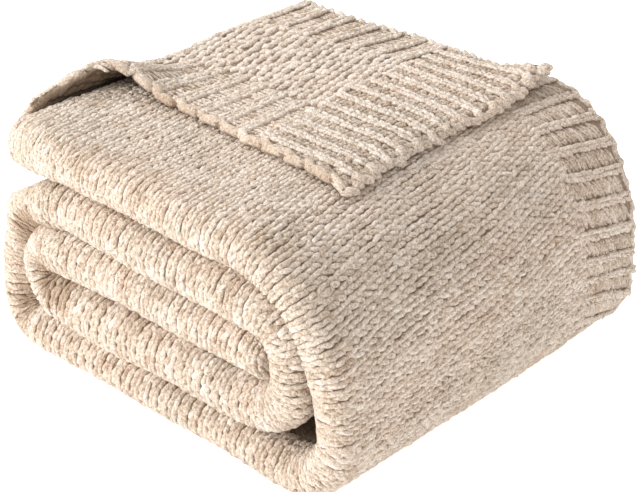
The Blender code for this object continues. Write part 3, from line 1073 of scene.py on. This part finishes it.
u = np.arange(6.0, NOSE + FLAP_REACH, 0.5)
v = lookup(FLAP_EDGE, u) + 2.5
walked = np.concatenate([[0.0], np.cumsum(np.hypot(np.diff(u), np.diff(v)))])
counted = np.cumsum(np.gradient(walked) / (10.0 + 2.8 * ease((walked - RAISED_LENGTH) / 60.0)))
at = np.interp(np.arange(1.0, counted[-1]), counted, walked)
u, v = np.interp(at, walked, u), np.interp(at, walked, v)
side = np.where(np.arange(len(u)) % 2 == 0, 1.0, -1.0)
slope = np.arctan2(np.gradient(u), np.gradient(v))
rows = legs(u, v + 0.9 * side, slope + 0.21 * side, 25.0, 8.6, 9.0, lift=0.4, tint=0.33)
rows[:, LENGTH] *= 0.74 + 0.26 * ease((at - RAISED_LENGTH) / 60.0)
knit("flap_chain", flap, uneven(rows[u < flap_end(v) - 9.0], turn=4.0, size=0.08, shift=0.4, tint=0.1, bright=0.0),
     finish=CHAIN_FINISH)
v = np.arange(-89.0, 174.0, 9.5)
knit("flap_hem", flap, uneven(legs(flap_end(v) - 4.0, v, math.radians(8.0), 15.0, 7.0, 7.2, lift=-0.2), turn=12.0,
                              size=0.18, shift=0.8))
u = np.arange(16.0, float(flap_end(172.0)) - 6.0, 10.0)
knit("flap_far_chain", flap, uneven(legs(u, lookup(FLAP_FAR, u) - 1.5, math.radians(88.0), 14.0, 8.0, 8.0, lift=0.2,
                                         tint=0.6), turn=9.0))

# %% [markdown]
# Where the near edge and the far corner stand up, the other face of the flap can be seen. It is in the shade of its
# own cloth, so its stitches are plain and painted dark brown with painted shade.

# %% Underside of the flap
u, v = grid_on_flap(6.4, STEP, 20.0)
near, far, end = lookup(FLAP_EDGE, u), lookup(FLAP_FAR, u), flap_end(v)
at_edge = (u < NOSE + 110.0) & (v > near + 6.0) & (v < near + 62.0)
at_corner = (u > end - 62.0) & (u < end - 4.0) & (v > 96.0) & (v < far - 4.0)
u, v = u[at_edge | at_corner], v[at_edge | at_corner]
# painted shade: the lowest tint and an openness of 0.14 make these stitches dark
knit("flap_underside", flap, uneven(legs(u, v, math.radians(12.0), 14.5, 6.4, 4.6, tint=0.0)), SMALL_LEG,
     side=-1.0, openness=0.14)

# %% [markdown]
# ## Replacing the solid
#
# The imported solid is replaced by the ground and everything knitted on it.

knitted = [obj for obj in bpy.context.scene.objects if obj.type == "MESH" and "tint" in obj.data.attributes]
knitted += end_grounds
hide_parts("throw")
triangles = sum(len(obj.data.polygons) for obj in knitted)
print(len(knitted), "knitted pieces,", triangles, "triangles")

# %% [markdown]
# ## Floor and light
#
# The floor is plain and pale, and glows a little, so that it comes out as white as in the picture. A
# large soft light stands on the left, behind the camera's left shoulder, so that the near folds and
# the top are bright and the right side is a little greyer. A second one fills in from high behind,
# and a weak warm one keeps the right side from going cold.

# %% Floor
floor_mesh = bmesh.new()
bmesh.ops.create_grid(floor_mesh, x_segments=1, y_segments=1, size=6.0)
floor_data = bpy.data.meshes.new("floor")
floor_mesh.to_mesh(floor_data)
floor_mesh.free()
floor = bpy.data.objects.new("floor", floor_data)
bpy.context.scene.collection.objects.link(floor)
paint = bpy.data.materials.new("floor paint")
paint.use_nodes = True
for label, value in (("Base Color", (0.93, 0.93, 0.93, 1.0)), ("Roughness", 0.9), ("Emission Color", WHITE),
                     ("Emission Strength", 0.62)):
    paint.node_tree.nodes["Principled BSDF"].inputs[label].default_value = value
floor_data.materials.append(paint)
print("floor:", [round(value, 1) for value in floor.dimensions], "m")

# %% Lights and world
def softbox(name, place, aim, size, watts, colour):
    data = bpy.data.lights.new(name, "AREA")
    data.shape, data.size, data.energy, data.color = "DISK", size, watts, colour
    light = bpy.data.objects.new(name, data)
    light.location = place
    light.rotation_mode = "QUATERNION"
    light.rotation_quaternion = (Vector(aim) - Vector(place)).to_track_quat("-Z", "Y")
    bpy.context.scene.collection.objects.link(light)
    return light


AIM = (0.0, 0.0, 0.1)
lights = [softbox("key", (-1.1, -2.2, 1.25), AIM, 0.8, 66.0, (1.0, 0.97, 0.93)),
          softbox("top", (-0.9, 0.9, 2.0), AIM, 0.9, 23.0, (0.95, 0.98, 1.0)),
          softbox("right", (2.2, -0.2, 0.7), AIM, 1.0, 3.6, (1.0, 0.76, 0.52))]
world = bpy.data.worlds.new("world")
world.use_nodes = True
world.node_tree.nodes["Background"].inputs["Color"].default_value = (1.0, 0.965, 0.93, 1.0)
world.node_tree.nodes["Background"].inputs["Strength"].default_value = 0.74
bpy.context.scene.world = world
bpy.context.scene.view_settings.view_transform = "Standard"
print("lights:", ", ".join(light.name for light in lights))
